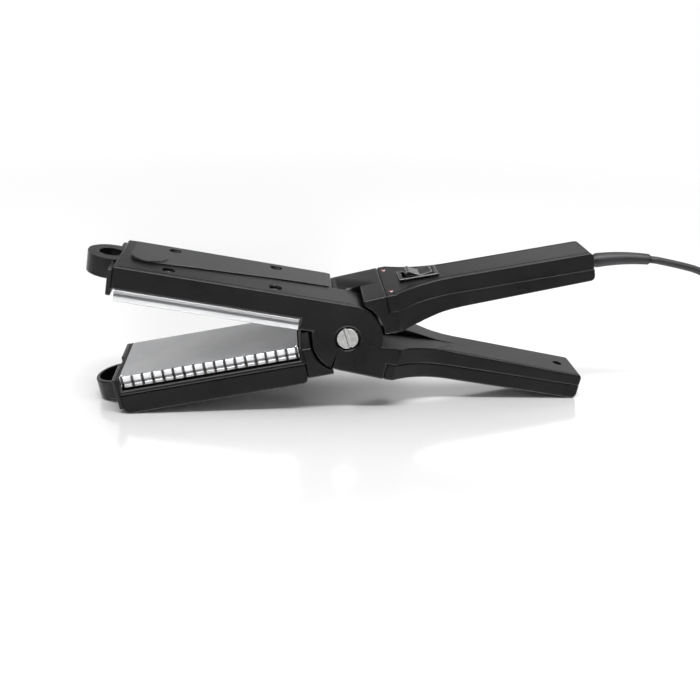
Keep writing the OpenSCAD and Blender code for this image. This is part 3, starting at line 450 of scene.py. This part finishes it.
finish = {
    "black_moulding": grained_plastic("black_moulding", (0.0035, 0.0035, 0.0036), (0.0065, 0.0063, 0.0063),
                                      rough=0.3, gloss=0.13),
    "inlay_satin": grained_plastic("inlay_satin", (0.01, 0.01, 0.0103), (0.016, 0.016, 0.0164),
                                   rough=0.42, gloss=0.25, depth=0.00005),
    "tip_plastic": grained_plastic("tip_plastic", (0.004, 0.004, 0.0041), (0.007, 0.007, 0.0071),
                                   rough=0.26, gloss=0.22, depth=0.00002),
    "plate_aluminium": satin_aluminium("plate_aluminium"),
    "carrier_resin": dull_ceramic("carrier_resin", (0.05, 0.042, 0.036)),
    "ceramic": dull_ceramic("ceramic", (0.7, 0.66, 0.58)),
    "spring_steel": turned_metal("spring_steel", (0.5, 0.5, 0.51), 0.3),
    "screw_steel": turned_metal("screw_steel", (0.1, 0.1, 0.105), 0.4),
    "lead_sleeve": woven_sleeve("lead_sleeve", (0.3, 0.05, 0.04)),
    "bush_brass": turned_metal("bush_brass", (0.7, 0.52, 0.25), 0.3),
    "pivot_steel": turned_metal("pivot_steel", (0.4, 0.395, 0.39), 0.34),
    "switch_gloss": gloss_plastic("switch_gloss", (0.008, 0.008, 0.0085)),
    "board_green": dull_ceramic("board_green", (0.03, 0.16, 0.06), 0.45),
    "lamp_red": lamp_lens("lamp_red"),
    "cord_black": soft_vinyl("cord_black"),
    "pin_metal": turned_metal("pin_metal", (0.66, 0.65, 0.62), 0.22),
}


def wear(piece, slot):
    """Gives a piece the finish of a material slot of the record."""
    piece.data.materials.clear()
    piece.data.materials.append(finish[slot])


slot_of = {s["node"]: s["material_slot"] for s in record["subparts"]}
for node_name, part in nodes.items():
    for place in part.material_slots:
        place.material = finish[slot_of[node_name]]
wear(cord, "cord_black")


# Mouldings: copies of the solids, with flat faces merged and outer edges rounded. An edge is rounded to its
# piece's width, or to NARROW_SHARE of the narrower face beside it, and stays sharp if that face is narrower
# than NARROWEST_MM. An edge follows on from another if it turns by less than 35 degrees, of which ALIKE is the
# tangent and FOLLOWS_ON about the cosine.
SHARP = math.radians(30)
FLAT = math.radians(0.6)
ALIKE = math.tan(math.radians(35))
FOLLOWS_ON = 0.82
SAME_POINT = 2e-6
ON_THE_EDGE = 1e-6
FAR_AWAY = 1.0
PLACES = np.array([[0.03], [0.25], [0.5], [0.75], [0.97]])
MERGE_PASSES_MM = (60, 30, 15, 8, 4, 2, 0)
NARROWEST_MM = 0.6
NARROW_SHARE = 0.45
ROUNDING_SEGMENTS = 3


def clear_width(edge, face, to_far_ends):
    """How far a face goes on inwards from one of its edges before it ends, at the narrowest of the PLACES.

    In the face's plane, with the edge along x, each other side from p to q crosses the line at x where
    y = py + (x - px) / (qx - px) * (qy - py); the least y above the edge counts, up to FAR_AWAY. With
    to_far_ends, a side that meets the edge counts with the y of its far end, unless it is sharp and
    follows on.
    """
    loops = list(face.loops)
    here = next(k for k, c in enumerate(loops) if c.edge == edge)
    loops = loops[here:] + loops[:here]
    corners = np.array([c.vert.co for c in loops])
    length = np.linalg.norm(corners[1] - corners[0])
    along = (corners[1] - corners[0]) / length
    inward = np.cross(np.array(face.normal), along)
    px, py = (corners - corners[0]) @ along, (corners - corners[0]) @ inward
    qx, qy = np.roll(px, -1), np.roll(py, -1)
    x = length * PLACES
    crosses = (px - x) * (qx - x) < 0
    y = py + (x - px) / np.where(crosses, qx - px, 1) * (qy - py)
    counts = crosses & (y > ON_THE_EDGE)
    limits = [FAR_AWAY]
    if to_far_ends:
        counts[:, [1, -1]] = False
        for side, far, ahead in ((loops[1].edge, 2, px[2] - length), (loops[-1].edge, -1, -px[-1])):
            follows_on = side.calc_face_angle(0) > SHARP and ahead > 0 and py[far] < ALIKE * ahead
            if py[far] > ON_THE_EDGE and not follows_on:
                limits.append(py[far])
    return min(limits + y[counts].tolist())


def even_out(edges, weight):
    """Rounded edges that follow on from each other within about 35 degrees take the least weight of them."""
    queue = [edge for edge in edges if edge[weight] > 0]
    while queue:
        edge = queue.pop()
        for vert in edge.verts:
            back = (edge.other_vert(vert).co - vert.co).normalized()
            for other in vert.link_edges:
                ahead = (other.other_vert(vert).co - vert.co).normalized()
                if other[weight] > edge[weight] and ahead.dot(back) < -FOLLOWS_ON:
                    other[weight] = edge[weight]
                    queue.append(other)


def merge_flat(work, in_one_go):
    """Joins the triangles of each flat face: in one go, or across their longest sides first."""
    if not in_one_go:
        flat = [e for e in work.edges if len(e.link_faces) == 2 and e.calc_face_angle(1) < FLAT]
        bmesh.ops.beautify_fill(work, faces=work.faces, edges=flat, method="ANGLE")
    for least in (0,) if in_one_go else MERGE_PASSES_MM:
        sides = [e for e in work.edges if e.calc_length() > least * MM]
        bmesh.ops.dissolve_limit(work, angle_limit=FLAT, verts=[] if least else work.verts, edges=sides)
    work.normal_update()


def rounded(node, body, width_mm, framework=False):
    """A copy of a node's solid with its sharp convex edges rounded.

    Framework pieces are the ones whose flat faces are cut up by pockets or slots. Their faces are merged in
    one go, and the sides that meet an edge don't limit its rounding.
    """
    piece = bpy.data.objects.new(node + "_skin", nodes[node].data.copy())
    bpy.context.collection.objects.link(piece)
    wear(piece, slot_of[node])
    work = bmesh.new()
    work.from_mesh(piece.data)
    bmesh.ops.remove_doubles(work, verts=work.verts, dist=SAME_POINT)
    merge_flat(work, in_one_go=framework)
    weight = work.edges.layers.float.new("bevel_weight_edge")
    width = width_mm * MM
    for edge in work.edges:
        if len(edge.link_faces) != 2 or edge.calc_face_angle(0) < SHARP:
            continue
        edge.smooth = False
        narrow = min(clear_width(edge, face, to_far_ends=not framework) for face in edge.link_faces)
        if narrow > NARROWEST_MM * MM and edge.is_convex:
            edge[weight] = min(1.0, NARROW_SHARE * narrow / width)
    even_out(work.edges, weight)
    for face in work.faces:
        face.smooth = True
    work.to_mesh(piece.data)
    work.free()
    bevel = piece.modifiers.new("round_edges", "BEVEL")
    bevel.limit_method = "WEIGHT"
    bevel.width = width
    bevel.segments = ROUNDING_SEGMENTS
    bevel.use_clamp_overlap = False
    bevel.miter_outer = "MITER_ARC"
    normals = piece.modifiers.new("flat_faces", "WEIGHTED_NORMAL")
    normals.keep_sharp = True
    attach(piece, body)
    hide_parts(node)
    return piece


for name, body, width in (("front_arm", "front_arm", 1.0), ("rear_arm", "rear_arm", 1.0),
                          ("upper_tip_cap", "front_arm", 0.7), ("lower_tip_cap", "rear_arm", 0.7),
                          ("pivot_screw", "rear_arm", 0.4)):
    rounded(name, body, width, framework=True)
for name, width in (("lower_handle_cover", 1.0), ("upper_jaw_inlay", 0.45), ("upper_plate", 0.4),
                    ("upper_jaw_screws", 0.3), ("lower_handle_screw", 0.3)):
    rounded(name, "front_arm", width)
for name, width in (("lower_jaw_cover", 1.4), ("upper_handle_cover", 1.0), ("lower_plate", 0.3),
                    ("lower_jaw_screws", 0.3), ("upper_handle_screw", 0.3), ("pivot_barrel", 0.4),
                    ("switch_case", 0.5), ("near_lamp_lens", 0.8), ("far_lamp_lens", 0.8)):
    rounded(name, "rear_arm", width)
rounded("switch_rocker", "rocker", 0.5)
plug_pieces = [rounded(name, "rear_arm", width) for name, width in
               (("plug_body", 1.5), ("plug_pins", 0.8), ("cord_tie", 0.2))]


# Strain relief: radii in millimetres, and places on the arc as shares of its length
RELIEF_RINGS = 60
RELIEF_SIDES = 40
COLLAR_X = np.array([129.3, 129.5, 131.6, 131.8, 131.9, 134.1])
COLLAR_R = np.array([3.9, 4.2, 4.2, 3.9, 2.9, 2.9])
NECK_R = 3.2
SHOULDER_R = 3.9
TIP_R = 2.9
ROLLED_IN = 0.35
NECK_END = 0.1
SHOULDER_END = 0.15
ROLL_START = 0.97


def make_relief():
    """A round sleeve on the arc: neck, rounded shoulder, even taper and rolled tip.

    Inside the handle's end wall a collar and a straight neck hold the sleeve.
    """
    collar = np.stack([COLLAR_X, 0 * COLLAR_X, 0 * COLLAR_X + RELIEF_Z], 1)
    s = np.linspace(0, 1, RELIEF_RINGS)
    shoulder = np.clip((s - NECK_END) / (SHOULDER_END - NECK_END), 0, 1) ** 0.5
    tip = np.sqrt(np.clip(1 - ((s - ROLL_START) / (1 - ROLL_START)).clip(0, 1) ** 2, 0, 1))
    taper = SHOULDER_R - (SHOULDER_R - TIP_R) * np.clip((s - SHOULDER_END) / (1 - SHOULDER_END), 0, 1)
    sleeve = NECK_R + (taper - NECK_R) * shoulder - ROLLED_IN * (1 - tip)
    line = placed(np.vstack([collar, relief_line(RELIEF_RINGS)]), on_rear)
    piece = tube("relief_sleeve", line, MM * np.concatenate([COLLAR_R, sleeve]), RELIEF_SIDES)
    wear(piece, "cord_black")
    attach(piece, "rear_arm")
    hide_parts("strain_relief")


make_relief()


# Stage
FLOOR_HALF = 8
MIRROR_SHARE = 0.32
FLOOR_FADES = (0.3, 0.8)


def make_stage():
    """A pale polished floor that shows a soft mirror image near the object and runs out to plain white."""
    corners = [(FLOOR_HALF * x, FLOOR_HALF * y, 0) for x, y in ((-1, -1), (1, -1), (1, 1), (-1, 1))]
    piece = new_piece("floor", corners, [[0, 1, 2, 3]], smooth=False)
    p = Paint("floor")
    matt = p.add("ShaderNodeBsdfDiffuse", None, {"Color": (0.97, 0.97, 0.97, 1)})
    mirror = p.add("ShaderNodeBsdfGlossy", None, {"Color": (1, 1, 1, 1), "Roughness": 0.15})
    polish = p.add("ShaderNodeMixShader", None, {0: MIRROR_SHARE, 1: matt, 2: mirror})
    white = p.add("ShaderNodeEmission", None, {"Color": (1, 1, 1, 1), "Strength": 1.0})
    away = p.add("ShaderNodeVectorMath", {"operation": "LENGTH"}, {0: p.object}, output="Value")
    fade = p.range(away, 0.0, 1.0, *FLOOR_FADES)
    camera_ray = p.add("ShaderNodeLightPath", output="Is Camera Ray")
    ground = p.add("ShaderNodeMixShader", None, {0: fade * camera_ray, 1: polish, 2: white})
    p.feed(p.tree.nodes["Material Output"].inputs["Surface"], ground)
    piece.data.materials.append(p.material)


# Light. The first rows are the tones that shiny surfaces see round them, and the pairs are where these change:
# spans of a direction's side, depth or height, its parts along X, Y and Z. The rest is the real lamps.
DARK = 0.06
WALL = 1.0
CEILING = 1.2
GAP = 0.85
BAND = 16.0
WALL_DEPTH = (-0.1, 0.5)
CEILING_HEIGHT = (0.5, 0.95)
BAND_HEIGHT = (0.55, 0.75)
BAND_FRONT = (-0.82, -0.66)
BAND_BACK = (-0.2, -0.08)
GAP_LEFT = (-0.27, -0.13)
GAP_RIGHT = (0.02, 0.16)
GAP_HEIGHT = (0.22, 0.34)
SOFT_LIGHT = 0.36
SUN = 1.4
SUN_WIDTH = math.radians(60)
SUN_TURN = (math.radians(-15), math.radians(8), 0)
LAMP = 9
LAMP_SIZE = (1.0, 0.16)
LAMP_AT = (0, -0.3, 1.0)


def make_light():
    """Even soft light with a long lamp overhead, and a round of tones that only shiny surfaces see.

    They see a white wall behind with a darker gap in it, a light ceiling, and a dark front with a bright
    band.
    """
    world = bpy.data.worlds.new("studio")
    bpy.context.scene.world = world
    world.use_nodes = True
    room = Nodes(world.node_tree)
    way = room.add("ShaderNodeTexCoord", output="Generated")
    side, depth, height = (room.add("ShaderNodeSeparateXYZ", None, {0: way}, output=axis) for axis in "XYZ")
    wall = room.range(depth, DARK, WALL, *WALL_DEPTH).top(room.range(height, DARK, CEILING, *CEILING_HEIGHT))
    band = (room.range(height, 0, BAND, *BAND_HEIGHT) * room.range(depth, 1, 0, *BAND_BACK)
            * room.range(depth, 0, 1, *BAND_FRONT))
    gap = (room.range(side, 0, GAP, *GAP_LEFT) * room.range(side, 1, 0, *GAP_RIGHT)
           * room.range(height, 0, 1, *GAP_HEIGHT))
    tones = wall * (1.0 - gap) + band
    mirrored = room.add("ShaderNodeLightPath", output="Is Glossy Ray")
    seen = room.add("ShaderNodeLightPath", output="Is Camera Ray")
    level = room.add("ShaderNodeMix", None, {0: mirrored, 2: SOFT_LIGHT, 3: tones})
    shown = room.add("ShaderNodeMix", None, {0: seen, 2: level, 3: 1.0})
    background = world.node_tree.nodes["Background"]
    room.feed(background.inputs["Strength"], shown)
    background.inputs["Color"].default_value = (1, 1, 1, 1)
    sun = bpy.data.lights.new("daylight", "SUN")
    sun.energy = SUN
    sun.angle = SUN_WIDTH
    daylight = bpy.data.objects.new("daylight", sun)
    daylight.rotation_euler = SUN_TURN
    strip = bpy.data.lights.new("overhead", "AREA")
    strip.shape = "RECTANGLE"
    strip.size, strip.size_y = LAMP_SIZE
    strip.energy = LAMP
    overhead = bpy.data.objects.new("overhead", strip)
    overhead.location = LAMP_AT
    overhead.rotation_euler = (math.atan2(LAMP_AT[1], LAMP_AT[2]), 0, 0)
    for lamp in (daylight, overhead):
        bpy.context.collection.objects.link(lamp)


make_stage()
make_light()
bpy.context.scene.view_settings.view_transform = "Standard"
